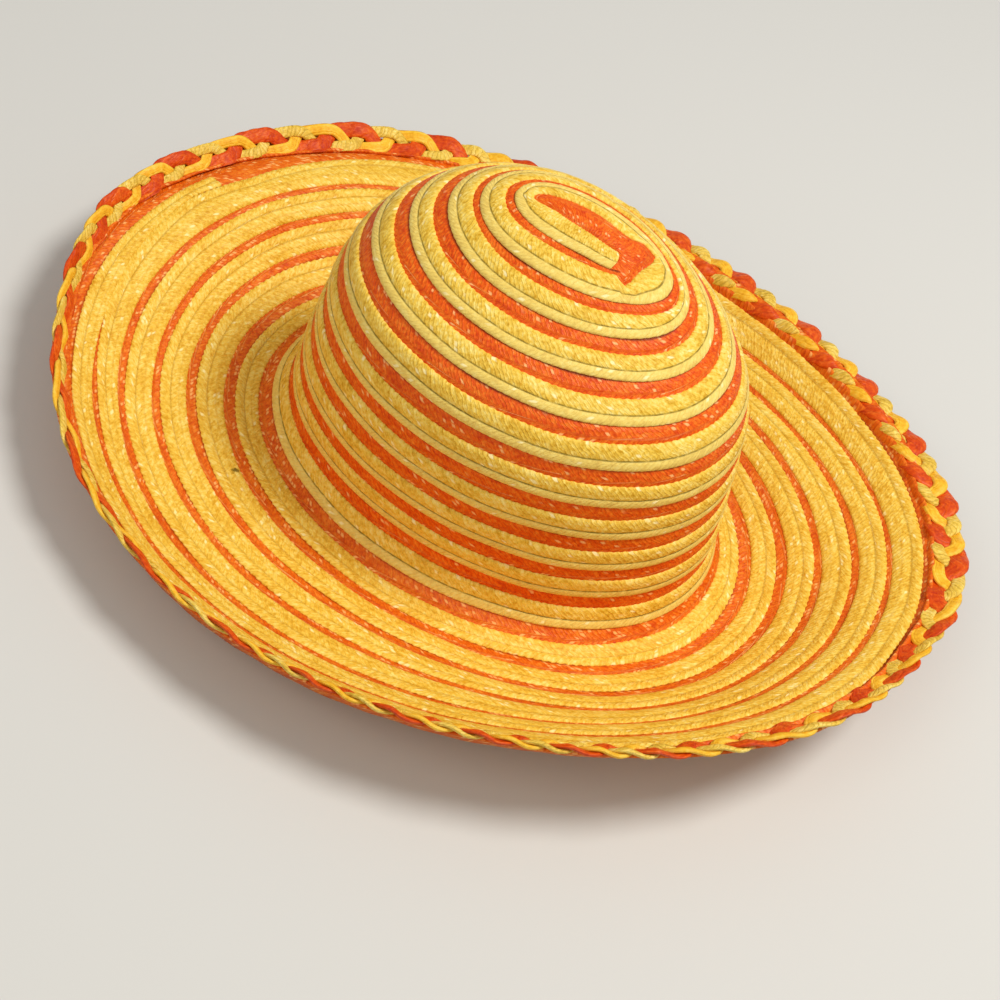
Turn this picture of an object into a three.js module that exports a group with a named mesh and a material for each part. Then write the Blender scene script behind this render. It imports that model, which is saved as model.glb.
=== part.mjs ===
// A straw sun hat sewn from one spiral of yellow and orange braid, with a flat plait around its edge.
// Units are millimetres, +Z is up, the hat faces -Y and rests on the plane z = 0.
import * as THREE from 'three';

// Sizes of the straw sheet
const strawThickness = 2;        // wall of overlapped braid
const buttonHalfLength = 16;     // half of the straight strip that the spiral starts around
const tipHeight = 142.2;         // tip of the crown above the floor
const tipArc = 5;                // the first ring of the crown's top, measured along the straw
const headLineArc = 184.5;       // where the crown meets the brim, measured along the straw
const jointGap = 0.3;            // clear space between neighbouring pieces

// Sizes of the edge plait
const plaitThickness = 4.2;
const plaitSink = 0.8;           // how far the plait's middle lies below the straw's upper face
const plaitRepeats = 28;         // times that the orange strand reaches the outer edge
const bendsPerRepeat = 3;        // one bend at the outer edge for each of the three strands
const bendDepth = 0.8;           // how far the bends stand out and in from the mean outline

// Mesh resolution
const sidesAround = 56;
const crownRings = 18;
const brimRings = 11;
const plaitCorners = 8;

// The straw's slope below level, in degrees, along the arc from the tip of the crown to the edge
const meridian = [
  { arc: 0, slope: 6 },
  { arc: 17, slope: 17 },
  { arc: 34, slope: 32 },
  { arc: 51, slope: 35 },
  { arc: 70, slope: 45 },
  { arc: 91, slope: 73 },
  { arc: 112.5, slope: 86 },
  { arc: 138, slope: 84 },
  { arc: 161, slope: 88 },
  { arc: 174, slope: 69 },
  { arc: 184.5, slope: 25 },
  { arc: 195, slope: -8 },
  { arc: 212, slope: -19 },
  { arc: 235, slope: -20 },
  { arc: 265, slope: -29 },
  { arc: 297, slope: -15 },
];

// What is added to that slope around the hat, in degrees: a lean, an oval swing and three ruffles.
// The front columns peak at the front. The others peak 90, 45 and 30 degrees on towards the left.
const waves = [
  { arc: 0, leanFront: 2, leanLeft: -8, ovalFront: 2, ovalDiagonal: 2.5, ruffleFront: 0, ruffleLeft: 0 },
  { arc: 74, leanFront: -1, leanLeft: 7.5, ovalFront: -3, ovalDiagonal: -1.5, ruffleFront: 0, ruffleLeft: 0 },
  { arc: 159, leanFront: 1, leanLeft: -4, ovalFront: -3.5, ovalDiagonal: -0.5, ruffleFront: 0, ruffleLeft: 0 },
  { arc: 184.5, leanFront: -4, leanLeft: 0, ovalFront: 7.5, ovalDiagonal: -3, ruffleFront: 0, ruffleLeft: 0 },
  { arc: 233, leanFront: -3, leanLeft: 3.5, ovalFront: -19.5, ovalDiagonal: 12, ruffleFront: 2, ruffleLeft: -3.5 },
  { arc: 286, leanFront: -15, leanLeft: 14.5, ovalFront: 27, ovalDiagonal: -16.5, ruffleFront: 2, ruffleLeft: 10 },
];

// The arc at which the sewn straw ends. Turn 0 is the front, 0.25 the right, 0.5 the back.
const edgeRows = [
  { turn: 0, arc: 274.5 },
  { turn: 0.1, arc: 272 },
  { turn: 0.25, arc: 273 },
  { turn: 0.38, arc: 277 },
  { turn: 0.47, arc: 280 },
  { turn: 0.57, arc: 278 },
  { turn: 0.7, arc: 277.5 },
  { turn: 0.85, arc: 278 },
  { turn: 0.95, arc: 276.5 },
  { turn: 1, arc: 274.5 },
];

// The plait's slope below level in degrees, and the width of it that stands beyond the sewn edge
const plaitRows = [
  { turn: 0, slope: -60, width: 13 },
  { turn: 1 / 12, slope: -45, width: 13 },
  { turn: 2 / 12, slope: -50, width: 12.5 },
  { turn: 3 / 12, slope: -53, width: 12 },
  { turn: 4 / 12, slope: -53, width: 12 },
  { turn: 5 / 12, slope: -66, width: 10.5 },
  { turn: 6 / 12, slope: -45, width: 12 },
  { turn: 7 / 12, slope: -35, width: 14 },
  { turn: 8 / 12, slope: -5, width: 14 },
  { turn: 9 / 12, slope: 5, width: 14 },
  { turn: 10 / 12, slope: 12, width: 14 },
  { turn: 11 / 12, slope: -8, width: 14 },
  { turn: 1, slope: -60, width: 13 },
];

const radians = THREE.MathUtils.degToRad;

// Reads a column of a table between its rows; ease smooths the step from row to row.
function readTable(rows, key, column, value, ease = false) {
  const last = rows.length - 1;
  const clamped = THREE.MathUtils.clamp(value, rows[0][key], rows[last][key]);
  let index = 0;
  while (index < last - 1 && rows[index + 1][key] < clamped) index += 1;
  const low = rows[index];
  const high = rows[index + 1];
  let part = (clamped - low[key]) / (high[key] - low[key]);
  if (ease) part = THREE.MathUtils.smoothstep(part, 0, 1);
  return THREE.MathUtils.lerp(low[column], high[column], part);
}

// The straw's slope in radians at an arc from the tip and an angle from the front towards the left side.
function slopeAt(arc, angle) {
  const wave = (column) => readTable(waves, 'arc', column, arc);
  const degrees = readTable(meridian, 'arc', 'slope', arc)
    + wave('leanFront') * Math.cos(angle) + wave('leanLeft') * Math.sin(angle)
    + wave('ovalFront') * Math.cos(2 * angle) + wave('ovalDiagonal') * Math.sin(2 * angle)
    + wave('ruffleFront') * Math.cos(3 * angle) + wave('ruffleLeft') * Math.sin(3 * angle);
  return radians(degrees);
}

// One radial section of the upper face, walked outward from the tip in short steps.
function makeSection(angle, lastArc) {
  const step = 1;
  const points = [{ reach: 0, drop: 0 }];
  for (let arc = 0; arc < lastArc; arc += step) {
    const slope = slopeAt(arc + step / 2, angle);
    const from = points[points.length - 1];
    points.push({ reach: from.reach + step * Math.cos(slope), drop: from.drop + step * Math.sin(slope) });
  }
  return (arc) => {
    const index = Math.min(Math.floor(arc / step), points.length - 2);
    const part = arc / step - index;
    return {
      reach: THREE.MathUtils.lerp(points[index].reach, points[index + 1].reach, part),
      drop: THREE.MathUtils.lerp(points[index].drop, points[index + 1].drop, part),
    };
  };
}

// Puts a reach and a drop on the oval plan.
function place(angle, reach, drop) {
  return new THREE.Vector3(
    reach * Math.sin(angle),
    -(reach + buttonHalfLength) * Math.cos(angle),
    tipHeight - drop,
  );
}

const furthestArc = 300;
const sectionCache = new Map();

function sectionAt(angle) {
  const key = angle.toFixed(6);
  if (!sectionCache.has(key)) sectionCache.set(key, makeSection(angle, furthestArc));
  return sectionCache.get(key);
}

function upperPoint(arc, angle) {
  const { reach, drop } = sectionAt(angle)(arc);
  return place(angle, reach, drop);
}

// The lower face lies a straw's thickness under the upper one and is flat where it stands.
function lowerPoint(arc, angle) {
  const small = 0.5;
  const turn = 0.01;
  const along = upperPoint(arc + small, angle).sub(upperPoint(arc - small, angle));
  const around = upperPoint(arc, angle + turn).sub(upperPoint(arc, angle - turn));
  const normal = along.cross(around).normalize();
  const point = upperPoint(arc, angle).addScaledVector(normal, -strawThickness);
  point.z = Math.max(point.z, 0);
  return point;
}

// Joins rings of points into one skin. A ring of one point closes the end as a pole.
function skinGeometry(rings, closed) {
  const positions = [];
  const starts = rings.map((ring) => {
    const start = positions.length / 3;
    ring.forEach((point) => positions.push(point.x, point.y, point.z));
    return start;
  });
  const indices = [];
  const joins = closed ? rings.length : rings.length - 1;
  for (let ring = 0; ring < joins; ring += 1) {
    const next = (ring + 1) % rings.length;
    const count = Math.max(rings[ring].length, rings[next].length);
    for (let side = 0; side < count; side += 1) {
      const a = starts[ring] + (side % rings[ring].length);
      const b = starts[next] + (side % rings[next].length);
      const c = starts[next] + ((side + 1) % rings[next].length);
      const d = starts[ring] + ((side + 1) % rings[ring].length);
      if (b !== c) indices.push(a, b, c);
      if (a !== d) indices.push(a, c, d);
    }
  }
  const geometry = new THREE.BufferGeometry();
  geometry.setAttribute('position', new THREE.Float32BufferAttribute(positions, 3));
  geometry.setIndex(indices);
  geometry.computeVertexNormals();
  return geometry;
}

function range(count, make) {
  return Array.from({ length: count }, (unused, index) => make(index));
}

function aroundHat(count, make) {
  return range(count, (side) => make((2 * Math.PI * side) / count));
}

// The spiral runs from the front past the hat's right side, against the angle.
function turnOf(angle) {
  const turn = -angle / (2 * Math.PI);
  return turn - Math.floor(turn);
}

function edgeArc(angle) {
  return readTable(edgeRows, 'turn', 'arc', turnOf(angle), true);
}

// Crown: a dome of straw, open below, from the tip to the head line
function makeCrown() {
  const arcs = range(crownRings, (ring) => {
    const part = ring / (crownRings - 1);
    return THREE.MathUtils.lerp(tipArc, headLineArc - jointGap / 2, part);
  });
  const upper = arcs.map((arc) => aroundHat(sidesAround, (angle) => upperPoint(arc, angle)));
  const lower = arcs.map((arc) => aroundHat(sidesAround, (angle) => lowerPoint(arc, angle)));
  const tip = new THREE.Vector3(0, 0, tipHeight);
  const underTip = tip.clone().setZ(tipHeight - strawThickness);
  return skinGeometry([[tip], ...upper, ...lower.reverse(), [underTip]], false);
}

// Brim: a ring of straw from the head line to the edge
function makeBrim() {
  const bunching = 1.25;
  const start = headLineArc + jointGap / 2;
  const ringAt = (part, point) => aroundHat(sidesAround, (angle) => {
    const arc = THREE.MathUtils.lerp(start, edgeArc(angle), part ** bunching);
    return point(arc, angle);
  });
  const parts = range(brimRings, (ring) => ring / (brimRings - 1));
  const upper = parts.map((part) => ringAt(part, upperPoint));
  const lower = parts.map((part) => ringAt(part, lowerPoint));
  return skinGeometry([...upper, ...lower.reverse()], true);
}

// Edge plait: the outer form of three strands, with a small bend for each strand along its outside
function makeEdgePlait() {
  const steps = plaitRepeats * bendsPerRepeat * 2;
  const ringAt = (corner) => range(steps, (side) => {
    const angle = (2 * Math.PI * side) / steps;
    const { reach, drop } = sectionAt(angle)(edgeArc(angle));
    const slope = radians(readTable(plaitRows, 'turn', 'slope', turnOf(angle), true));
    const outer = readTable(plaitRows, 'turn', 'width', turnOf(angle), true);
    const fold = Math.abs(Math.sin(slope - slopeAt(edgeArc(angle), angle)));
    const inner = 2 * jointGap + (plaitThickness / 2) * fold;
    const turn = (2 * Math.PI * corner) / plaitCorners;
    const bend = side % 2 === 0 ? bendDepth : -bendDepth;
    const part = (1 - Math.cos(turn)) / 2;
    const outward = THREE.MathUtils.lerp(inner, outer + bend, part);
    const lift = (plaitThickness / 2) * Math.sin(turn) - plaitSink;
    return place(
      angle,
      reach + outward * Math.cos(slope) + lift * Math.sin(slope),
      drop + outward * Math.sin(slope) - lift * Math.cos(slope),
    );
  });
  return skinGeometry(range(plaitCorners, ringAt), true);
}

function makeMesh(name, geometry, color, roughness) {
  const material = new THREE.MeshStandardMaterial({ color, roughness, metalness: 0 });
  const mesh = new THREE.Mesh(geometry, material);
  mesh.name = name;
  return mesh;
}

const hat = new THREE.Group();
hat.name = 'summer_hat';
hat.add(makeMesh('crown', makeCrown(), 0xe6b93f, 0.45));
hat.add(makeMesh('brim', makeBrim(), 0xf2bf4c, 0.45));
hat.add(makeMesh('edge_plait', makeEdgePlait(), 0xd9701f, 0.4));

// The origin is the middle of the whole hat's outline, on the floor.
const bounds = new THREE.Box3().setFromObject(hat);
const middle = bounds.getCenter(new THREE.Vector3()).setZ(bounds.min.z);
hat.children.forEach((mesh) => mesh.geometry.translate(-middle.x, -middle.y, -middle.z));

export default hat;
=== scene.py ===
import bpy
import numpy as np
from mathutils import Matrix, Vector


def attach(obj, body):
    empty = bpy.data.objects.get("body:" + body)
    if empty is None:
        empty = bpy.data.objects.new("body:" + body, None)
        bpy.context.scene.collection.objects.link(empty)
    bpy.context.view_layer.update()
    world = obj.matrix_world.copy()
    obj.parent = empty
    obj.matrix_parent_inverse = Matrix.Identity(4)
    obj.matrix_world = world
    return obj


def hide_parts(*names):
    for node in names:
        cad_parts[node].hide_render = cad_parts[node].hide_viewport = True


# A straw summer hat. A yellow and an orange braid are sewn together in one spiral from the tip of the
# crown to the edge of the brim, and a plait of three strands goes around that edge. Lengths in the
# tables and sizes are in millimetres, angles are in degrees, and turns of the spiral are counted from
# the front of the hat past its right side.

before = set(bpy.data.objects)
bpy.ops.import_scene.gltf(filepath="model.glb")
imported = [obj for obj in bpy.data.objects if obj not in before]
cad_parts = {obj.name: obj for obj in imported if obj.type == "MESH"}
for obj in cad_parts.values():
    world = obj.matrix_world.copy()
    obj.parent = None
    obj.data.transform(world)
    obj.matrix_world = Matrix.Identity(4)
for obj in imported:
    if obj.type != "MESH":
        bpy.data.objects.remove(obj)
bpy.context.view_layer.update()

MM = 0.001

# The hat's form, as the CAD part has it
TIP = np.array((-4.12, -4.12, 142.2))   # top of the crown in the part's frame
BUTTON_HALF_LENGTH = 16                 # the oval rows are this much longer at the front and the back
LAST_ARC = 300                          # end of the grid, beyond the edge of the brim
PLAIT_SINK = 0.8                        # the plait lies this far below the brim's surface

# Slope of the straw below level along the arc from the tip of the crown: arc, slope
MERIDIAN = np.array((
    (0, 6), (17, 17), (34, 32), (51, 35), (70, 45), (91, 73), (112.5, 86), (138, 84),
    (161, 88), (174, 69), (184.5, 25), (195, -8), (212, -19), (235, -20), (265, -29), (297, -15),
))

# Added to the slope around the hat: arc, then cosine and sine of one, two and three times the angle
WAVES = np.array((
    (0, 2, -8, 2, 2.5, 0, 0),
    (74, -1, 7.5, -3, -1.5, 0, 0),
    (159, 1, -4, -3.5, -0.5, 0, 0),
    (184.5, -4, 0, 7.5, -3, 0, 0),
    (233, -3, 3.5, -19.5, 12, 2, -3.5),
    (286, -15, 14.5, 27, -16.5, 2, 10),
))

# Where the sewn straw ends: turn, arc
EDGE = np.array((
    (0, 274.5), (0.1, 272), (0.25, 273), (0.38, 277), (0.47, 280),
    (0.57, 278), (0.7, 277.5), (0.85, 278), (0.95, 276.5), (1, 274.5),
))

# The plait: turn, slope below level, width that stands beyond the edge, half of its own width
PLAIT = np.array((
    (0, -46, 10.5, 6), (1 / 12, -45, 13, 6.7), (2 / 12, -50, 12.5, 6.2), (3 / 12, -53, 12, 6),
    (4 / 12, -53, 12, 5.8), (5 / 12, -66, 10.5, 5.4), (6 / 12, -45, 12, 6), (7 / 12, -35, 14, 7.4),
    (8 / 12, -5, 14, 9), (9 / 12, 5, 14, 9.8), (10 / 12, 12, 14, 9.8), (11 / 12, -8, 14, 8.2),
    (1, -46, 10.5, 6),
))

# How often the plait's pattern has come round: turn, repeats
REPEATS = np.array((
    (0, -0.83), (0.036, 0.25), (0.0775, 1.25), (0.1125, 2.25), (0.1705, 4.25), (0.257, 7.25),
    (0.2955, 8.25), (0.341, 9.25), (0.3895, 10.25), (0.4325, 11.25), (0.4705, 12.33), (0.5075, 13.37),
    (0.5475, 14.34), (0.5885, 15.28), (0.6295, 16.3), (0.734, 19.35), (0.7665, 20.37), (0.8025, 21.4),
    (0.8355, 22.38), (0.867, 23.33), (0.9005, 24.3), (0.931, 25.27), (0.9695, 26.25), (1, 27.17),
))

# The spiral of orange braid: turn, arc of its middle, share of each row's pitch that shows orange
SPIRAL = np.array((
    (0, 11, 0.16), (0.12, 12.4, 0.16), (0.2, 12.7, 0.24), (0.3, 14.4, 0.27), (0.4, 17, 0.3),
    (0.5, 18.9, 0.3), (0.65, 21.2, 0.22), (0.75, 23.6, 0.2), (0.85, 27, 0.2), (0.92, 29, 0.26),
    (0.97, 28.3, 0.36), (1.03, 27.2, 0.38), (1.1, 27, 0.36), (1.2, 28.3, 0.34), (1.5, 32.9, 0.34),
    (2, 40.3, 0.41), (3, 56.7, 0.41), (4, 73.9, 0.41), (5, 92, 0.42), (6, 109.4, 0.43),
    (7, 127.2, 0.43), (8, 144.9, 0.43), (9, 162.6, 0.42), (10, 179.5, 0.4), (11, 195.4, 0.38),
    (11.15, 196.4, 0.38), (11.3, 200.2, 0.38), (11.45, 202, 0.36),
    (12, 211.4, 0.29), (12.15, 212.6, 0.3), (12.3, 217, 0.31), (12.45, 219.4, 0.3), (13, 227, 0.26),
    (13.15, 227.3, 0.24), (13.3, 232.3, 0.24), (13.45, 235, 0.25), (14, 243.4, 0.24),
    (14.15, 243.4, 0.2), (14.3, 247, 0.3), (14.45, 250.6, 0.26), (14.6, 252, 0.2), (15, 258, 0.2),
    (15.15, 257.6, 0.2), (15.3, 260.5, 0.24), (15.39, 261.8, 0.17), (15.43, 263.5, 0.04),
    (15.5, 268.3, 0.04), (15.53, 266.8, 0.24), (15.6, 272.4, 0.24), (16, 273.8, 0.24),
    (16.35, 275.2, 0.4), (16.52, 276.5, 0.55), (17, 284, 0.3),
))

# Outline of the folded orange start at the top of the crown: turn, arc
BUTTON = np.array((
    (-1, 1.2), (-0.6, 1), (-0.55, 3), (-0.52, 7), (-0.5, 9), (-0.47, 10), (-0.36, 10.2),
    (-0.3, 11.5), (-0.25, 12.5), (-0.19, 13), (-0.168, 14.5), (-0.158, 19.4), (-0.139, 20.5),
    (-0.125, 21.3), (-0.115, 20), (-0.083, 16), (-0.056, 13.5), (-0.028, 12), (0, 11.5),
    (0.028, 12), (0.056, 13.5), (0.083, 16), (0.1, 17.5), (0.112, 15), (0.14, 12),
))

# Orange that shows between the last yellow row and the edge: turn, width. Below 0, the yellow row
# hides the edge.
BARE_EDGE = np.array((
    (0, 3.4), (0.06, 2), (0.12, 0), (0.25, -1), (0.33, -1), (0.36, 2), (0.385, 4), (0.42, 5.4),
    (0.46, 5), (0.5, 2), (0.518, 1.4), (0.54, 5.8), (0.7, 6), (0.85, 7.5), (0.9, 6), (0.95, 5.2),
    (1, 3.4),
))

# Turns at which the braids start and end
SPIRAL_START = 0.1
SPIRAL_END = 16.52
YELLOW_START = -0.94
YELLOW_END = 15.515
BRIM_START = 9.8        # from here on, the braids belong to the brim's pieces
BUTTON_END = 0.112      # up to here, the yellow braid borders on the folded start
FOLD_END = -0.86        # up to here, the folded start reaches as far as it does one turn later
STEP_TURN = 15.39       # here the last yellow row widens inward over the orange one
STEP_SPAN = 0.05        # turns that this takes
STEP_COVER = 0.8        # share of the orange row that it then covers
RIM_TURN = YELLOW_END - 0.03    # here the orange braid widens to the rim
RIM_SPAN = 0.02                 # turns that this takes

# Sizes of the braids
FIRST_PITCH = 14.0      # pitch of the first half turn, which has no row inside it
GROOVE = 0.6            # where the seam runs across the yellow braid, as a part of its width
TUCK = 2.6              # the orange braid reaches this far under the yellow one on each side
BUTTON_TUCK = 1.2       # and the folded start this far
RIM_TUCK = 0.5          # the orange braid's rim reaches this far past the edge, over the plait
RIM_TUCK_MORE = 2.5     # and this much more where the orange edge shows
STRAND_PITCH = 2.2      # width of a strand, measured along the braid
SWELL_STRANDS = 3       # strands to each swelling of the braid
TOOTH_STRANDS = 1.5     # strands to each tooth of its edges
INNER_TEETH = 0.12      # part of the braid's width that has teeth, on each side
OUTER_TEETH = 0.1
SKEW = 0.072            # turns between the two corners of the yellow braid's cut end
SKEW_SPAN = 0.25        # turns over which this fades
TURN_SAMPLES = 400      # points in each turn at which its length is measured
ROUGH_TURN = 700        # rough length of one turn, so that the straw differs from piece to piece

# The yellow braid's lower band keeps the width that it has on a row 9 to 12 mm wide
LOWER_BAND_ROWS = (9, 12)
LOWER_BAND_MOST = 0.75      # but takes no more than this part of a narrow row
LOWER_BAND_SHIFT = 0.37     # and its strands don't meet those of the upper band

# Slow sideways wander of a braid: distance, wavelength over two pi, phase per turn
WANDER = ((0.2, 23, 5), (0.12, 7.3, 0))

# Waves in a braid's height: distance, wavelength over two pi, phase across the braid
HEIGHT_WAVE = (0.1, 11, 3)

# Where the straw lies on the floor, the lowest layer is just above it and the others follow in order
FLOOR_GAP = 0.05
LAYER_GAP = 0.06        # for each millimetre of height within the braid
LOWEST_LAYER = -2       # lower than any braid's lower face

# A small dark stain on the brim, on the side turned to the camera
STAIN_TURN = 0.351
STAIN_ARC = 206.2
STAIN_RADIUS = 2


def smoothstep(part):
    """An S-shaped step from 0 to 1 while part goes from 0 to 1."""
    part = np.clip(part, 0, 1)
    return part * part * (3 - 2 * part)


def read_table(table, column, value):
    return np.interp(value, table[:, 0], table[:, column])


def read_eased(table, column, value):
    """Reads a column with a smooth step from row to row."""
    row = np.clip(np.searchsorted(table[:, 0], value, side="right") - 1, 0, len(table) - 2)
    low = table[row]
    high = table[row + 1]
    part = smoothstep((value - low[..., 0]) / (high[..., 0] - low[..., 0]))
    return low[..., column] + (high[..., column] - low[..., column]) * part


# The straw's surface, as tables of reach and drop over angle and arc

GRID_ANGLES = np.linspace(0, 2 * np.pi, 721)
GRID_ARCS = np.arange(0, LAST_ARC + 1.0)
TIP_ARCS = 4       # so close to the tip, the normals are taken from farther out


def slope_at(arcs, angles):
    """Slope of the straw below level, one row for each angle."""
    harmonics = np.stack([f(n * angles) for n in (1, 2, 3) for f in (np.cos, np.sin)], axis=1)
    waves = np.stack([read_table(WAVES, column, arcs) for column in range(1, 7)])
    return np.radians(read_table(MERIDIAN, 1, arcs) + harmonics @ waves)


def running_sum(steps):
    """Sums along each row, from 0."""
    return np.concatenate((np.zeros((len(steps), 1)), np.cumsum(steps, axis=1)), axis=1)


grid_slopes = slope_at(GRID_ARCS[:-1] + 0.5, GRID_ANGLES)
GRID_REACH = running_sum(np.cos(grid_slopes))
GRID_DROP = running_sum(np.sin(grid_slopes))


def place(angle, reach, drop):
    """Points in the part's frame, in millimetres."""
    x = TIP[0] + reach * np.sin(angle)
    y = TIP[1] - (reach + BUTTON_HALF_LENGTH) * np.cos(angle)
    return np.stack((x, y, TIP[2] - drop), axis=-1)


def find_normals():
    """Normals of the straw's surface at the points of the grid."""
    points = place(GRID_ANGLES[:, None], GRID_REACH, GRID_DROP)
    along = np.gradient(points, axis=1)
    around = np.gradient(points, axis=0)
    normals = np.cross(along, around)
    normals[:, :TIP_ARCS] = normals[:, TIP_ARCS:TIP_ARCS + 1]
    return normals / np.linalg.norm(normals, axis=2, keepdims=True)


GRID_NORMALS = find_normals()


def look_up(grid, arc, angle):
    """Reads a grid between its points."""
    column = np.mod(angle, 2 * np.pi) / (2 * np.pi) * (len(GRID_ANGLES) - 1)
    row = np.clip(arc, 0, LAST_ARC - 0.001)
    i = np.minimum(column.astype(int), len(GRID_ANGLES) - 2)
    j = row.astype(int)
    a = column - i
    b = row - j
    if grid.ndim == 3:
        a = a[..., None]
        b = b[..., None]
    near = grid[i, j] * (1 - a) + grid[i + 1, j] * a
    far = grid[i, j + 1] * (1 - a) + grid[i + 1, j + 1] * a
    return near * (1 - b) + far * b


def surface(arc, angle, height):
    """Points at a height above the straw's surface."""
    base = place(angle, look_up(GRID_REACH, arc, angle), look_up(GRID_DROP, arc, angle))
    return base + look_up(GRID_NORMALS, arc, angle) * height[..., None]


# The rows of braid

def spiral_arc(turn):
    """Arc of the middle of the orange row."""
    return read_table(SPIRAL, 1, turn)


def orange_half(turn):
    """Half of the width of orange that shows."""
    pitch = spiral_arc(turn + 0.5) - spiral_arc(turn - 0.5)
    pitch = np.where(turn < 0.5, FIRST_PITCH, pitch)
    return read_table(SPIRAL, 2, turn) * pitch / 2


def edge_arc(turn):
    """Arc at which the sewn straw ends."""
    return read_eased(EDGE, 1, np.mod(turn, 1))


def button_arc(turn):
    """Arc of the outline of the folded start."""
    return read_table(BUTTON, 1, turn)


def button_reach(turn):
    """How far the folded start goes under the yellow braid around it."""
    folded = np.where(turn < FOLD_END, button_arc(turn + 1), 0)
    return np.maximum(button_arc(turn), folded) + BUTTON_TUCK


def bare_edge(turn):
    """Width of orange beyond the last yellow row."""
    return read_table(BARE_EDGE, 1, np.mod(turn, 1))


# Arcs of the edges of both braids

def yellow_inner(turn):
    covered = smoothstep((turn - STEP_TURN) / STEP_SPAN) * STEP_COVER
    inner = spiral_arc(turn) + orange_half(turn) * (1 - 2 * covered)
    return np.where(turn < BUTTON_END, button_arc(turn), inner)


def yellow_outer(turn):
    outer = spiral_arc(turn + 1) - orange_half(turn + 1)
    limit = edge_arc(turn) - bare_edge(turn)
    return np.where(turn > YELLOW_END - 1, np.minimum(outer, limit), outer)


def orange_inner(turn):
    return spiral_arc(turn) - orange_half(turn) - TUCK


def orange_outer(turn):
    covered = spiral_arc(turn) + orange_half(turn) + TUCK
    rim = edge_arc(turn) + RIM_TUCK + RIM_TUCK_MORE * smoothstep((bare_edge(turn) - 1) / 2)
    last_row = smoothstep((turn - RIM_TURN) / RIM_SPAN)
    return np.minimum(covered * (1 - last_row) + rim * last_row, rim)


def walk(start, end, step):
    """Turns at even steps of distance along the spiral, and those distances."""
    turns = np.linspace(start, end, int((end - start) * TURN_SAMPLES) + 2)
    middle = spiral_arc(np.maximum(turns, 0) + 0.5)
    points = surface(middle, -2 * np.pi * turns, np.zeros_like(turns))
    lengths = np.linalg.norm(np.diff(points, axis=0), axis=1)
    along = np.concatenate(((0,), np.cumsum(lengths)))
    even = np.linspace(0, along[-1], int(along[-1] / step) + 1)
    return np.interp(even, along, turns), even + ROUGH_TURN * (start + 2)


def add_mesh(name, points, loops, closed, attributes, material):
    """Joins rows of points, each a loop, into a mesh with smooth shading."""
    rows = len(points) // loops
    grid = np.arange(rows * loops).reshape(rows, loops)
    if closed:
        grid = np.concatenate((grid, grid[:1]), axis=0)
    around = np.roll(grid, -1, axis=1)
    quads = np.stack((grid[:-1], around[:-1], around[1:], grid[1:]), axis=-1).reshape(-1, 4)
    faces = quads.tolist()
    if not closed:
        faces.append(grid[0, ::-1].tolist())
        faces.append(grid[-1].tolist())
    mesh = bpy.data.meshes.new(name)
    mesh.from_pydata((points * MM).tolist(), [], faces)
    for key, values in attributes.items():
        layer = mesh.attributes.new(key, "FLOAT", "POINT")
        layer.data.foreach_set("value", values.astype(np.float32).ravel())
    mesh.shade_smooth()
    mesh.materials.append(material)
    piece = bpy.data.objects.new(name, mesh)
    bpy.context.collection.objects.link(piece)
    return piece


def rounded(phase):
    """One hump for each strand."""
    return np.abs(np.sin(np.pi * phase))


def sawtooth(phase):
    """Leaning teeth with a slow rise and a quick fall."""
    rise = 0.7
    fall = 0.3
    part = np.mod(phase, 1)
    return np.where(part < rise, part / rise, (1 - part) / fall)


# Across the yellow braid: part of its width, height of the upper face, weight of its swelling
YELLOW_TOP = np.array((
    (0.0, -0.7, 0), (0.025, -0.25, 0.3), (0.09, 0.12, 1), (0.2, 0.27, 1), (0.32, 0.3, 1),
    (0.45, 0.22, 1), (0.55, 0.08, 0.6), (GROOVE, -0.18, 0), (0.65, 0.08, 0.6), (0.74, 0.22, 1),
    (0.84, 0.26, 1), (0.93, 0.12, 1), (0.98, -0.15, 0.5), (1.0, -0.5, 0),
))
YELLOW_BOTTOM = np.array(((1.0, -0.8), (0.76, -1.0), (0.5, -1.2), (0.24, -1.0), (0.0, -0.85)))

# The brim is far longer, so its yellow braid has fewer points across
BRIM_YELLOW_TOP = YELLOW_TOP[[0, 1, 2, 4, 6, 7, 8, 10, 12, 13]]
BRIM_YELLOW_BOTTOM = YELLOW_BOTTOM[[0, 1, 3, 4]]

# Across the orange braid, with the edges that are tucked under the yellow braid, in the same columns
ORANGE_TOP = np.array((
    (0.0, -1.1, 0), (0.2, -0.95, 0), (0.34, -0.72, 1), (0.43, -0.58, 1), (0.5, -0.7, 0.8),
    (0.57, -0.58, 1), (0.66, -0.72, 1), (0.8, -0.95, 0), (1.0, -1.1, 0),
))
ORANGE_BOTTOM = np.array(((1.0, -1.55), (0.7, -1.8), (0.3, -1.8), (0.0, -1.55)))
BUTTON_TOP = np.array((
    (0.0, -0.6, 1), (0.3, -0.6, 1), (0.6, -0.55, 1), (0.85, -0.65, 1), (1.0, -0.9, 0),
))


def start_skew(turns):
    """The braid's first end is cut straight across, so that its outer side starts later."""
    return SKEW * (1 - smoothstep((turns - YELLOW_START) / SKEW_SPAN))


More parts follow.
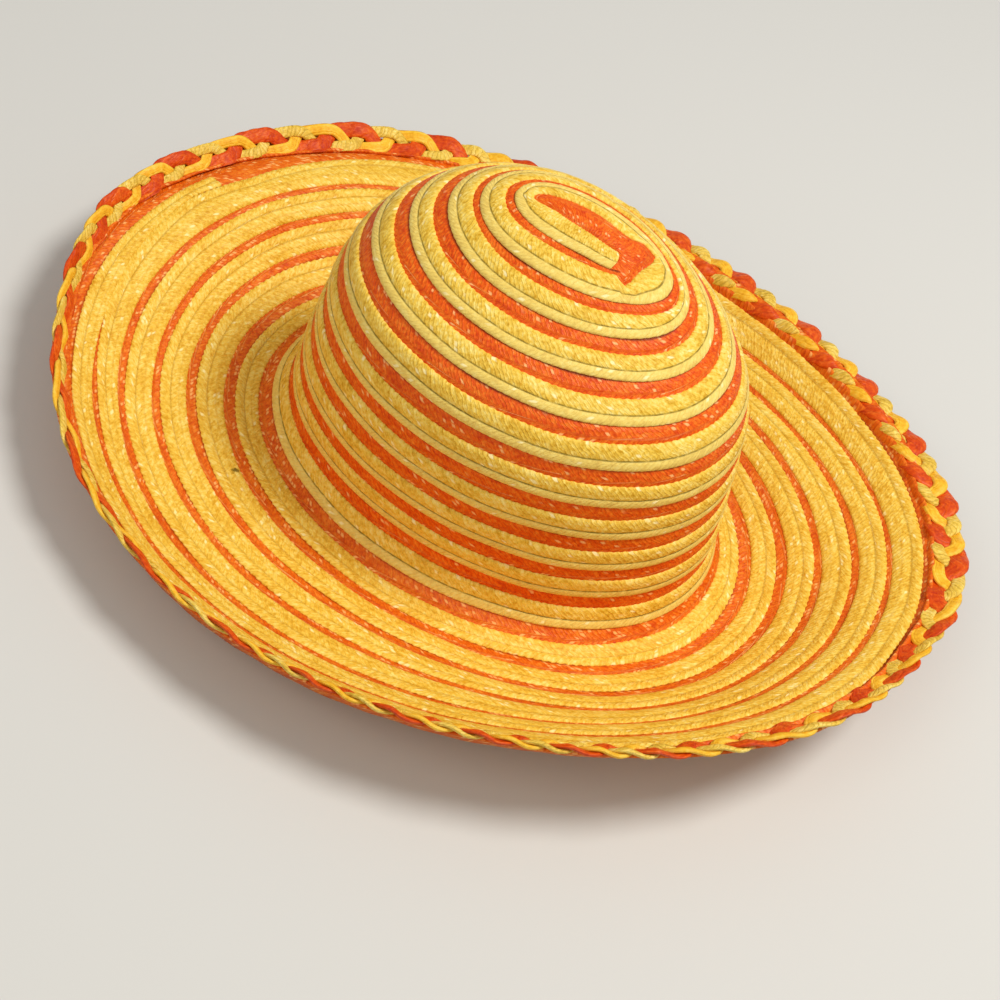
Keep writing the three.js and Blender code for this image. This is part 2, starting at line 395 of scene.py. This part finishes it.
def add_braid(name, span, step, edges, profile, teeth, material, seed):
    """Sweeps one braid along the spiral.

    span is its first and its last turn, and teeth are the depths of its inner and its outer teeth.
    """
    turns, along = walk(*span, step)
    inner, outer, skew, hidden = edges
    top, bottom, swell = profile
    across = np.concatenate((top[:, 0], bottom[:, 0]))
    heights = np.concatenate((top[:, 1], bottom[:, 1]))
    weights = np.concatenate((top[:, 2], np.zeros(len(bottom))))

    side = across[None, :] * np.ones_like(turns)[:, None]
    turn = turns[:, None] + skew(turns)[:, None] * side
    distance = along[:, None] * np.ones_like(side)
    low = inner(turn)
    width = outer(turn) - low
    lower_width = np.minimum((1 - GROOVE) * np.clip(width, *LOWER_BAND_ROWS), LOWER_BAND_MOST * width)
    lower_side = np.clip((side - GROOVE) / (1 - GROOVE), 0, 1)
    measured = np.minimum(side / GROOVE, 1) * (width - lower_width) + lower_side * lower_width

    upper_band = (distance + measured) / STRAND_PITCH
    lower_band = (distance - measured) / STRAND_PITCH + LOWER_BAND_SHIFT
    strand = np.where(side <= GROOVE, upper_band, lower_band)
    tooth = strand / TOOTH_STRANDS
    bite_in = teeth[0] * rounded(tooth) * smoothstep(1 - side / INNER_TEETH)
    bite_out = teeth[1] * sawtooth(tooth) * smoothstep((side - (1 - OUTER_TEETH)) / OUTER_TEETH)

    wander = sum(far * np.sin(distance / wave + phase * turn) for far, wave, phase in WANDER)
    height = heights + swell * weights * (rounded(strand / SWELL_STRANDS) - 0.5)
    rise, wave, phase = HEIGHT_WAVE
    height = height + rise * np.sin(distance / wave + phase * side) * (weights > 0)
    arc = low + measured + bite_out - bite_in + wander
    points = surface(arc, -2 * np.pi * turn, height)
    lowest = FLOOR_GAP + LAYER_GAP * (height - LOWEST_LAYER)
    points[..., 2] = np.maximum(points[..., 2], lowest)

    attributes = {
        "strand": strand + seed,
        "across": side,
        "along": distance,
        "from_inner": measured - hidden,
    }
    return add_mesh(name, points.reshape(-1, 3), len(across), False, attributes, material)


# Materials

def linear(red, green, blue):
    """A colour given as 0 to 255 screen values, as the shader takes it."""
    values = np.array((red, green, blue)) / 255
    return (*np.where(values <= 0.04045, values / 12.92, ((values + 0.055) / 1.055) ** 2.4), 1.0)


# Noise in the straw: scale along and across the braid for each millimetre, and detail. For the fibres,
# the first scale is for each strand.
DRIFT = (0.16, 0.3, 2.0)
PATCHES = (0.07, 0.15, 3.0)
FIBRES = (2.6, 0.5, 3.0)
MOTTLE = (0.55, 0.6, 3.0)

# Shares that the noises have in a straw's shade, and the shades at which the three colours stand
CHANCE_SHARE = 0.16
PATCH_SHARE = 0.5
FIBRE_SHARE = 0.6
MOTTLE_SHARE = 0.9
FIBRE_MIDDLE = 0.5
MOTTLE_MIDDLE = 0.36
SHADE_STOPS = (0.18, 0.46, 0.8)

# Strands
DRIFT_STRANDS = 1.6     # how far the drift bends them
STRAND_BANDS = 2.5      # bands of strands across a braid
STRAND_CORE = 0.22      # part of a strand on each side of its middle that is at full height
GAP_REACH = 0.6         # the gap's colour ends at this height
LOWER_SHARE = 0.5       # how much the yellow braid's lower band takes of its own colour
LOWER_FADE = 0.02

# Glints, painted highlights: lighter spots on single strands, painted into the base colour
GLINT_ROWS = 0.62       # places for a glint for each millimetre across a braid
GLINT_SHIFT = 0.3       # how much these places differ from strand to strand
GLINT_SHARE = 0.8       # how much a glint takes of its own colour
GLINT_CORE = 0.6        # part of the glints that are at their full strength
GLINT_SEED = 31.0

# Seams, lines along a braid
SEAM_WAVE = 0.05        # how far a seam wanders, as a part of the braid's width
SEAM_WAVE_SCALE = 0.3
SEAM_BREAK_SCALE = 0.22
SEAM_BREAKS = (0.34, 0.54)      # values of the noise from faint to full depth
SEAM_FAINT = 0.3        # depth of the faint stretches, as a share
SEAM_CORE = 0.35        # part of the half width that has full depth
SEAM_SEED = 5.0
SEAM_BREAK_SEED = 3.0

# The stain
STAIN_SHARE = 0.85
STAIN_CORE = 0.4        # part of the radius that is at its full strength
STAIN_RAGGED = 2        # how ragged its outline is, in radii

# Surface
SHADOW_REACH = (0.1, 0.75)      # millimetres from the row before, from full painted shadow to none
SHINY_FIBRES = (0.3, 0.7)       # values of the fibres' noise from dull to shiny
ROUGHNESS = (0.55, 0.36)        # of dull and of shiny fibres
BUMP_STRENGTH = 0.45
BUMP_HEIGHT = 0.6
BUMP_STRANDS = 0.5      # share of the strands in the bumps, beside the fibres and the mottle
SPECULAR = 0.22


class Shader:
    """A short way to add and join nodes in one material."""

    def __init__(self, name):
        self.material = bpy.data.materials.new(name)
        self.material.use_nodes = True
        self.tree = self.material.node_tree
        self.surface = self.tree.nodes["Principled BSDF"]

    def node(self, kind, inputs=None, **settings):
        node = self.tree.nodes.new(kind)
        for key, value in settings.items():
            setattr(node, key, value)
        for key, value in (inputs or {}).items():
            self.join(value, node.inputs[key])
        return node

    def join(self, value, socket):
        if isinstance(value, bpy.types.NodeSocket):
            self.tree.links.new(value, socket)
        else:
            socket.default_value = value

    def math(self, operation, *values):
        node = self.node("ShaderNodeMath", dict(enumerate(values)), operation=operation)
        return node.outputs[0]

    def attribute(self, name):
        return self.node("ShaderNodeAttribute", attribute_name=name).outputs["Fac"]

    def vector(self, x, y):
        return self.node("ShaderNodeCombineXYZ", {0: x, 1: y}).outputs[0]

    def noise(self, x, y, detail):
        inputs = {"Vector": self.vector(x, y), "Scale": 1.0, "Detail": detail}
        return self.node("ShaderNodeTexNoise", inputs).outputs["Fac"]

    def scaled(self, value, factor):
        return self.math("MULTIPLY", value, factor)

    def cloud(self, x, y, noise):
        """One of the noises listed above."""
        return self.noise(self.scaled(x, noise[0]), self.scaled(y, noise[1]), noise[2])

    def share(self, value, middle, factor):
        """What a noise adds, which is nothing at its middle value."""
        return self.scaled(self.math("SUBTRACT", value, middle), factor)

    def chance(self, x, y):
        """A number from 0 to 1 for each pair of whole numbers."""
        inputs = {"Vector": self.vector(x, y)}
        node = self.node("ShaderNodeTexWhiteNoise", inputs, noise_dimensions="2D")
        return node.outputs["Value"]

    def ramp(self, value, stops):
        node = self.node("ShaderNodeValToRGB", {"Fac": value})
        elements = node.color_ramp.elements
        while len(elements) < len(stops):
            elements.new(0.5)
        for element, (position, colour) in zip(elements, stops):
            element.position = position
            element.color = colour
        return node.outputs["Color"]

    def mix(self, amount, first, second):
        node = self.node("ShaderNodeMix", data_type="RGBA")
        self.join(amount, node.inputs["Factor"])
        self.join(first, node.inputs["A"])
        self.join(second, node.inputs["B"])
        return node.outputs["Result"]

    def range(self, value, low, high, to_low=0.0, to_high=1.0):
        """Carries the range from low to high over to the range from to_low to to_high."""
        ends = {"From Min": low, "From Max": high, "To Min": to_low, "To Max": to_high}
        return self.node("ShaderNodeMapRange", {"Value": value, **ends}).outputs["Result"]

    def hump(self, part):
        """1 in the middle of a strand and 0 between two strands."""
        away = self.math("ABSOLUTE", self.math("SUBTRACT", part, 0.5))
        return self.range(away, 0.5, STRAND_CORE)


def straw_material(name, shades, gap, gap_depth=0.15, seams=(), lower=None, glint=None,
                   glint_share=0.0, shadow=None, shadow_depth=0.0, stain=None):
    """Strands of straw, each in its own shade, with gaps between them and fibres along them.

    gap, lower, glint and shadow are the colours of the gaps, of the yellow braid's lower band, of
    the painted highlights on single strands and of the painted shadow on the side next to the row
    before. A seam is its place across the braid, half of its width, its depth and its colour. A stain
    is its place, its radius and its colour.
    """
    s = Shader(name)
    along = s.attribute("along")
    across = s.attribute("across")
    from_inner = s.attribute("from_inner")
    drift = s.cloud(along, from_inner, DRIFT)
    strand = s.math("ADD", s.attribute("strand"), s.scaled(drift, DRIFT_STRANDS))
    number = s.math("FLOOR", strand)
    hump = s.hump(s.math("FRACT", strand))
    chance = s.chance(number, s.math("FLOOR", s.scaled(across, STRAND_BANDS)))
    patches = s.cloud(along, from_inner, PATCHES)
    fibres = s.cloud(strand, from_inner, FIBRES)
    mottle = s.cloud(along, from_inner, MOTTLE)
    shade = s.math("ADD", s.scaled(chance, CHANCE_SHARE), s.scaled(patches, PATCH_SHARE))
    shade = s.math("ADD", shade, s.share(fibres, FIBRE_MIDDLE, FIBRE_SHARE))
    shade = s.math("ADD", shade, s.share(mottle, MOTTLE_MIDDLE, MOTTLE_SHARE))
    colour = s.ramp(shade, list(zip(SHADE_STOPS, shades)))
    if lower:
        colour = s.mix(s.range(across, GROOVE, GROOVE + LOWER_FADE, 0.0, LOWER_SHARE), colour, lower)
    colour = s.mix(s.range(hump, GAP_REACH, 0.0, 0.0, gap_depth), colour, gap)
    # Painted highlights: a pale colour mixed into the base colour on spots of single strands
    if glint:
        row = s.math("ADD", s.scaled(from_inner, GLINT_ROWS), s.scaled(chance, GLINT_SHIFT))
        spot = s.chance(number, s.math("ADD", s.math("FLOOR", row), GLINT_SEED))
        lucky = s.range(spot, 1.0 - glint_share, 1.0 - glint_share * GLINT_CORE)
        body = s.math("MULTIPLY", hump, s.hump(s.math("FRACT", row)))
        colour = s.mix(s.scaled(s.math("MULTIPLY", lucky, body), GLINT_SHARE), colour, glint)
    for index, (position, half_width, depth, seam) in enumerate(seams):
        seed = SEAM_SEED * index
        wobble = s.noise(s.scaled(along, SEAM_WAVE_SCALE), seed, 1.0)
        centre = s.math("ADD", position - SEAM_WAVE / 2, s.scaled(wobble, SEAM_WAVE))
        beside = s.math("ABSOLUTE", s.math("SUBTRACT", across, centre))
        broken = s.noise(s.scaled(along, SEAM_BREAK_SCALE), seed + SEAM_BREAK_SEED, 2.0)
        strength = s.range(broken, *SEAM_BREAKS, depth * SEAM_FAINT, depth)
        line = s.range(beside, half_width, half_width * SEAM_CORE)
        line = s.math("MULTIPLY", line, strength)
        colour = s.mix(line, colour, seam)
    # Painted shadow: the side next to the row before is darkened, where that row's edge laps over it
    if shadow:
        colour = s.mix(s.range(from_inner, *SHADOW_REACH, shadow_depth, 0.0), colour, shadow)
    if stain:
        centre, radius, dirt = stain
        position = s.node("ShaderNodeTexCoord").outputs["Object"]
        ends = {0: position, 1: centre}
        away = s.node("ShaderNodeVectorMath", ends, operation="DISTANCE").outputs["Value"]
        away = s.math("ADD", away, s.share(mottle, 0.5, radius * STAIN_RAGGED))
        colour = s.mix(s.range(away, radius, radius * STAIN_CORE, 0.0, STAIN_SHARE), colour, dirt)
    s.join(colour, s.surface.inputs["Base Color"])
    s.join(s.range(fibres, *SHINY_FIBRES, *ROUGHNESS), s.surface.inputs["Roughness"])
    height = s.math("ADD", s.scaled(hump, BUMP_STRANDS), s.math("ADD", fibres, mottle))
    relief = {"Strength": BUMP_STRENGTH, "Distance": BUMP_HEIGHT * MM, "Height": height}
    bump = s.node("ShaderNodeBump", relief)
    s.join(bump.outputs["Normal"], s.surface.inputs["Normal"])
    s.surface.inputs["Specular IOR Level"].default_value = SPECULAR
    return s.material


CROWN_YELLOW = straw_material(
    "crown_yellow_straw",
    (linear(208, 156, 26), linear(240, 200, 76), linear(252, 232, 140)),
    gap=linear(192, 142, 20),
    gap_depth=0.1,
    seams=((GROOVE, 0.044, 0.8, linear(122, 100, 14)),),
    lower=linear(236, 214, 126),
    glint=linear(255, 242, 184),
    glint_share=0.04,
)

stain_angle = -2 * np.pi * STAIN_TURN
stain_place = tuple(surface(np.array(STAIN_ARC), np.array(stain_angle), np.array(0)) * MM)

BRIM_YELLOW = straw_material(
    "brim_yellow_straw",
    (linear(216, 158, 30), linear(240, 196, 70), linear(252, 230, 130)),
    gap=linear(200, 142, 18),
    seams=(
        (GROOVE, 0.05, 0.35, linear(190, 130, 16)),
        (0.3, 0.05, 0.3, linear(200, 140, 20)),
    ),
    glint=linear(255, 240, 170),
    glint_share=0.05,
    stain=(stain_place, STAIN_RADIUS * MM, linear(92, 74, 8)),
)
# The orange braids get a painted shadow along the side under the yellow row before them
CROWN_ORANGE = straw_material(
    "crown_orange_straw",
    (linear(208, 60, 2), linear(234, 96, 8), linear(250, 140, 40)),
    gap=linear(176, 50, 2),
    gap_depth=0.3,
    glint=linear(255, 196, 128),
    glint_share=0.07,
    shadow=linear(110, 34, 0),
    shadow_depth=0.8,
)
BRIM_ORANGE = straw_material(
    "brim_orange_straw",
    (linear(206, 74, 2), linear(228, 106, 12), linear(246, 146, 44)),
    gap=linear(184, 58, 2),
    gap_depth=0.3,
    glint=linear(255, 190, 110),
    glint_share=0.22,
    shadow=linear(150, 52, 0),
    shadow_depth=0.5,
)
PLAIT_ORANGE = straw_material(
    "plait_orange_straw",
    (linear(186, 48, 0), linear(214, 76, 4), linear(238, 116, 30)),
    gap=linear(150, 30, 2),
    gap_depth=0.3,
)
PLAIT_PALE = straw_material(
    "plait_pale_straw",
    (linear(196, 156, 40), linear(232, 194, 76), linear(248, 226, 132)),
    gap=linear(150, 112, 16),
    gap_depth=0.45,
)
PLAIT_GOLD = straw_material(
    "plait_gold_straw",
    (linear(222, 156, 20), linear(244, 188, 46), linear(252, 214, 92)),
    gap=linear(200, 136, 16),
)


# The braids of the crown and the brim

NO_SHADOW = -5      # the fold starts without a row before it, so no painted shadow darkens its inner side

# Seeds for the shades of the straw: each braid has strands of its own numbers
YELLOW_SEED = 0
ORANGE_SEED = 20000
BUTTON_SEED = 30000

# Inner edge, outer edge, skew, and how much of the inner side is hidden under the row before it
yellow_edges = (yellow_inner, yellow_outer, start_skew, 0)
orange_edges = (orange_inner, orange_outer, np.zeros_like, TUCK)
start_edges = (np.zeros_like, button_reach, np.zeros_like, NO_SHADOW)

# Upper face, lower face and depth of the swellings
crown_yellow_profile = (YELLOW_TOP, YELLOW_BOTTOM, 0.1)
brim_yellow_profile = (BRIM_YELLOW_TOP, BRIM_YELLOW_BOTTOM, 0.1)
orange_profile = (ORANGE_TOP, ORANGE_BOTTOM, 0.2)
start_profile = (BUTTON_TOP, ORANGE_BOTTOM, 0.15)

# Name, first and last turn, step, edges, profile, teeth, material and seed
crown_yellow = add_braid(
    "crown_yellow_braid", (YELLOW_START, BRIM_START), 0.95, yellow_edges, crown_yellow_profile,
    (0.45, 0.2), CROWN_YELLOW, YELLOW_SEED,
)
brim_yellow = add_braid(
    "brim_yellow_braid", (BRIM_START, YELLOW_END), 1.1, yellow_edges, brim_yellow_profile,
    (0.45, 0.6), BRIM_YELLOW, YELLOW_SEED,
)
crown_orange = add_braid(
    "crown_orange_braid", (SPIRAL_START, BRIM_START), 1.0, orange_edges, orange_profile,
    (0, 0), CROWN_ORANGE, ORANGE_SEED,
)
brim_orange = add_braid(
    "brim_orange_braid", (BRIM_START, SPIRAL_END), 1.1, orange_edges, orange_profile,
    (0, 0.3), BRIM_ORANGE, ORANGE_SEED,
)
button_orange = add_braid(
    "crown_orange_start", (-1.0, 0.0), 0.5, start_edges, start_profile,
    (0, 0), CROWN_ORANGE, BUTTON_SEED,
)

# The plait

PLAIT_LENGTH = 1190
PLAIT_HALF = 7.4            # half of the plait's mean width, for lengths along a strand
TUCKED_LIFT = -1.8          # the plait's inner side is moved this far down where it is tucked
SHOWN_LIFT = 0.9            # and this far up where the orange edge shows
LIFT_SPAN = 3               # both fade to nothing over this width at the brim's edge

# The strands: sizes are shares of the plait's half width
STRAND_STEPS = 1120
STRAND_CORNERS = 16
STRAND_HALF_HEIGHT = 0.15
STRAND_SWAY = 0.58          # from the plait's middle line to a strand's bends
STRAND_RISE = 0.165         # where one strand goes over another
BEND_SHARPNESS = 2.3        # strands run straight from bend to bend
STRAND_ROUNDNESS = 0.8      # below 1, a strand is more square than an ellipse
GROOVE_PITCH = 2.3          # millimetres along a strand
GROOVE_SWELL = 0.1

# The binding: its table is made for this half of the plait's width, in millimetres
BINDING_STEPS = 800
BINDING_HALF = 6
BINDING_STRAW = 7           # half of the width that its straw pattern takes, in millimetres
BINDING_ACROSS = 0.3        # it takes the straw pattern of this place across a braid
BINDING_CLEAR = 10          # and of this distance from the row before, so that no painted shadow darkens it
UNDER_PLAIT_MORE = 0.3      # it reaches this much farther under the plait where the edge shows

# Slow sideways wander of the binding: distance, wavelength over two pi
BINDING_WANDER = ((0.05, 9), (0.03, 3.1))

# Cross-section of the orange braid that holds the plait: outward, lift where it is tucked below the
# yellow edge, and lift where it shows, in plait half widths
BINDING = np.array((
    (-1.1, -0.36, -0.38), (-1.03, -0.3, 0.0), (-0.95, -0.2, 0.2), (-0.85, -0.14, 0.28),
    (-0.76, -0.12, 0.2), (-0.72, -0.12, 0.0), (-0.64, -0.14, -0.16), (0.0, -0.18, -0.2),
    (0.0, -0.36, -0.38), (-0.5, -0.38, -0.4), (-1.1, -0.42, -0.42),
))
RAISED = slice(0, 7)        # rows of that table that lap over the plait
UNDER_PLAIT = slice(7, 9)   # and rows that reach under it


def edge_shown(turn):
    """1 where the orange edge shows, and 0 where the plait is tucked below the yellow edge."""
    return smoothstep((bare_edge(turn) + 0.5) / 2)


def plait_point(turn, outward, lift):
    """Points at an outward distance from the plait's middle line and a lift, in plait half widths."""
    angle = -2 * np.pi * turn
    wrapped = np.mod(turn, 1)
    slope = np.radians(read_eased(PLAIT, 1, wrapped))
    half = read_eased(PLAIT, 3, wrapped)
    across = read_eased(PLAIT, 2, wrapped) + (outward - 1) * half
    raised = (SHOWN_LIFT - TUCKED_LIFT) * edge_shown(turn) + TUCKED_LIFT
    raised = raised * smoothstep((LIFT_SPAN / 2 - across) / LIFT_SPAN)
    lift = lift * half - PLAIT_SINK + raised
    arc = edge_arc(turn) + np.minimum(across, 0)
    beyond = np.maximum(across, 0)
    reach = look_up(GRID_REACH, arc, angle) + beyond * np.cos(slope) + lift * np.sin(slope)
    drop = look_up(GRID_DROP, arc, angle) + beyond * np.sin(slope) - lift * np.cos(slope)
    return place(angle, reach, drop)


def add_strand(name, index, half_width, twist, lines, material):
    """One strand of the plait. twist and lines give the slant and the number of its grooves."""
    ones = np.ones((STRAND_STEPS, STRAND_CORNERS))
    turn = np.arange(STRAND_STEPS) / STRAND_STEPS
    per_step = PLAIT_LENGTH / STRAND_STEPS

    phase = 2 * np.pi * (read_table(REPEATS, 1, turn) + index / 3)
    path_out = STRAND_SWAY * np.tanh(BEND_SHARPNESS * np.sin(phase)) / np.tanh(BEND_SHARPNESS)
    path_up = -STRAND_RISE * np.sin(2 * phase)
    lean = PLAIT_HALF * (np.roll(path_out, -1) - np.roll(path_out, 1)) / (2 * per_step)
    length = np.sqrt(1 + lean * lean)
    along = np.cumsum(length) * per_step

    corner = np.arange(STRAND_CORNERS) * 2 * np.pi / STRAND_CORNERS
    groove = along[:, None] / GROOVE_PITCH * twist + corner / (2 * np.pi) * lines
    swell = 1 + GROOVE_SWELL * (rounded(groove) - 0.5)
    side = half_width * np.sign(np.cos(corner)) * np.abs(np.cos(corner)) ** STRAND_ROUNDNESS
    sideways = side * swell
    upward = STRAND_HALF_HEIGHT * np.sin(corner) * swell

    shift = -lean / length * PLAIT_HALF / PLAIT_LENGTH
    turns = turn[:, None] + sideways * shift[:, None]
    outward = path_out[:, None] + sideways / length[:, None]
    lift = path_up[:, None] + upward
    points = plait_point(turns, outward, lift)
    attributes = {
        "strand": groove,
        "across": ones * corner / (2 * np.pi),
        "along": along[:, None] * ones,
        "from_inner": PLAIT_HALF * ones * np.abs(side),
    }
    return add_mesh(name, points.reshape(-1, 3), STRAND_CORNERS, True, attributes, material)


def add_binding(name, material):
    """The last round of orange braid, which laps over the inner bends of the plait."""
    ones = np.ones((BINDING_STEPS, len(BINDING)))
    turn = np.arange(BINDING_STEPS) / BINDING_STEPS
    along = turn * PLAIT_LENGTH
    shown = edge_shown(turn)[:, None]
    half = read_eased(PLAIT, 3, turn)[:, None]

    lift = BINDING[:, 1] * (1 - shown) + BINDING[:, 2] * shown
    lift[:, RAISED] *= BINDING_HALF / half
    wander = sum(far * np.sin(along / wave) for far, wave in BINDING_WANDER)
    outward = BINDING[:, 0] + wander[:, None] * ones
    outward[:, UNDER_PLAIT] += UNDER_PLAIT_MORE * shown
    points = plait_point(turn[:, None] * ones, outward, lift)

    sideways = BINDING_STRAW * BINDING[:, 0] * ones
    attributes = {
        "strand": (along[:, None] + sideways) / STRAND_PITCH,
        "across": ones * BINDING_ACROSS,
        "along": along[:, None] * ones,
        "from_inner": sideways + BINDING_CLEAR,
    }
    return add_mesh(name, points.reshape(-1, 3), len(BINDING), True, attributes, material)


# Name, place in the pattern, half width, twist and number of the grooves, material
plait_pieces = (
    add_strand("plait_orange_strand", 0, 0.52, 0.35, 5, PLAIT_ORANGE),
    add_strand("plait_pale_strand", 2, 0.38, 1.0, 4, PLAIT_PALE),
    add_strand("plait_gold_strand", 1, 0.38, 0.0, 7, PLAIT_GOLD),
    add_binding("plait_binding_braid", BRIM_ORANGE),
)

for piece in (crown_yellow, crown_orange, button_orange):
    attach(piece, "root")
    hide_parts("crown")
for piece in (brim_yellow, brim_orange):
    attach(piece, "root")
    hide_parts("brim")
for piece in plait_pieces:
    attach(piece, "root")
    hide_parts("edge_plait")

# Floor, lights and camera, in metres

HAT_MIDDLE = (0, 0, 0.05)


def add_floor():
    size = 3.0
    mesh = bpy.data.meshes.new("floor")
    corners = [(-size, -size, 0), (size, -size, 0), (size, size, 0), (-size, size, 0)]
    mesh.from_pydata(corners, [], [(0, 1, 2, 3)])
    floor = bpy.data.objects.new("floor", mesh)
    bpy.context.collection.objects.link(floor)
    shader = Shader("floor")
    shader.surface.inputs["Base Color"].default_value = (0.62, 0.62, 0.6, 1)
    shader.surface.inputs["Roughness"].default_value = 0.8
    mesh.materials.append(shader.material)


def add_light(name, position, size, power, colour):
    """A round soft light that faces the hat."""
    data = bpy.data.lights.new(name, "AREA")
    data.shape = "DISK"
    data.size = size
    data.energy = power
    data.color = colour
    light = bpy.data.objects.new(name, data)
    light.location = position
    direction = Vector(HAT_MIDDLE) - Vector(position)
    light.rotation_euler = direction.to_track_quat("-Z", "Y").to_euler()
    bpy.context.collection.objects.link(light)


def add_world(colour, strength):
    world = bpy.data.worlds.new("studio")
    world.use_nodes = True
    inputs = world.node_tree.nodes["Background"].inputs
    inputs["Color"].default_value = colour
    inputs["Strength"].default_value = strength
    bpy.context.scene.world = world


def add_camera():
    """The camera at the photo's viewing angle, fitted together with the hat's form."""
    target = Vector((-59.45, -30.79, 46.8)) * MM
    direction = Vector((-0.6336, -0.2345, 0.7373)).normalized()
    distance = 717.7 * MM
    roll = np.radians(20.54)
    data = bpy.data.cameras.new("camera")
    data.lens = 64.43
    data.sensor_width = 36
    camera = bpy.data.objects.new("camera", data)
    position = Matrix.Translation(target + direction * distance)
    aim = (-direction).to_track_quat("-Z", "Y").to_matrix().to_4x4()
    camera.matrix_world = position @ aim @ Matrix.Rotation(roll, 4, "Z")
    bpy.context.collection.objects.link(camera)
    bpy.context.scene.camera = camera


add_floor()
add_light("key", (0.35, -0.7, 1.7), size=0.6, power=26, colour=(1.0, 0.97, 0.92))
add_light("fill", (-1.4, 0.2, 1.5), size=1.4, power=10, colour=(1.0, 0.92, 0.8))
add_world((1.0, 0.98, 0.95, 1), strength=0.38)
bpy.context.scene.view_settings.view_transform = "Standard"
add_camera()
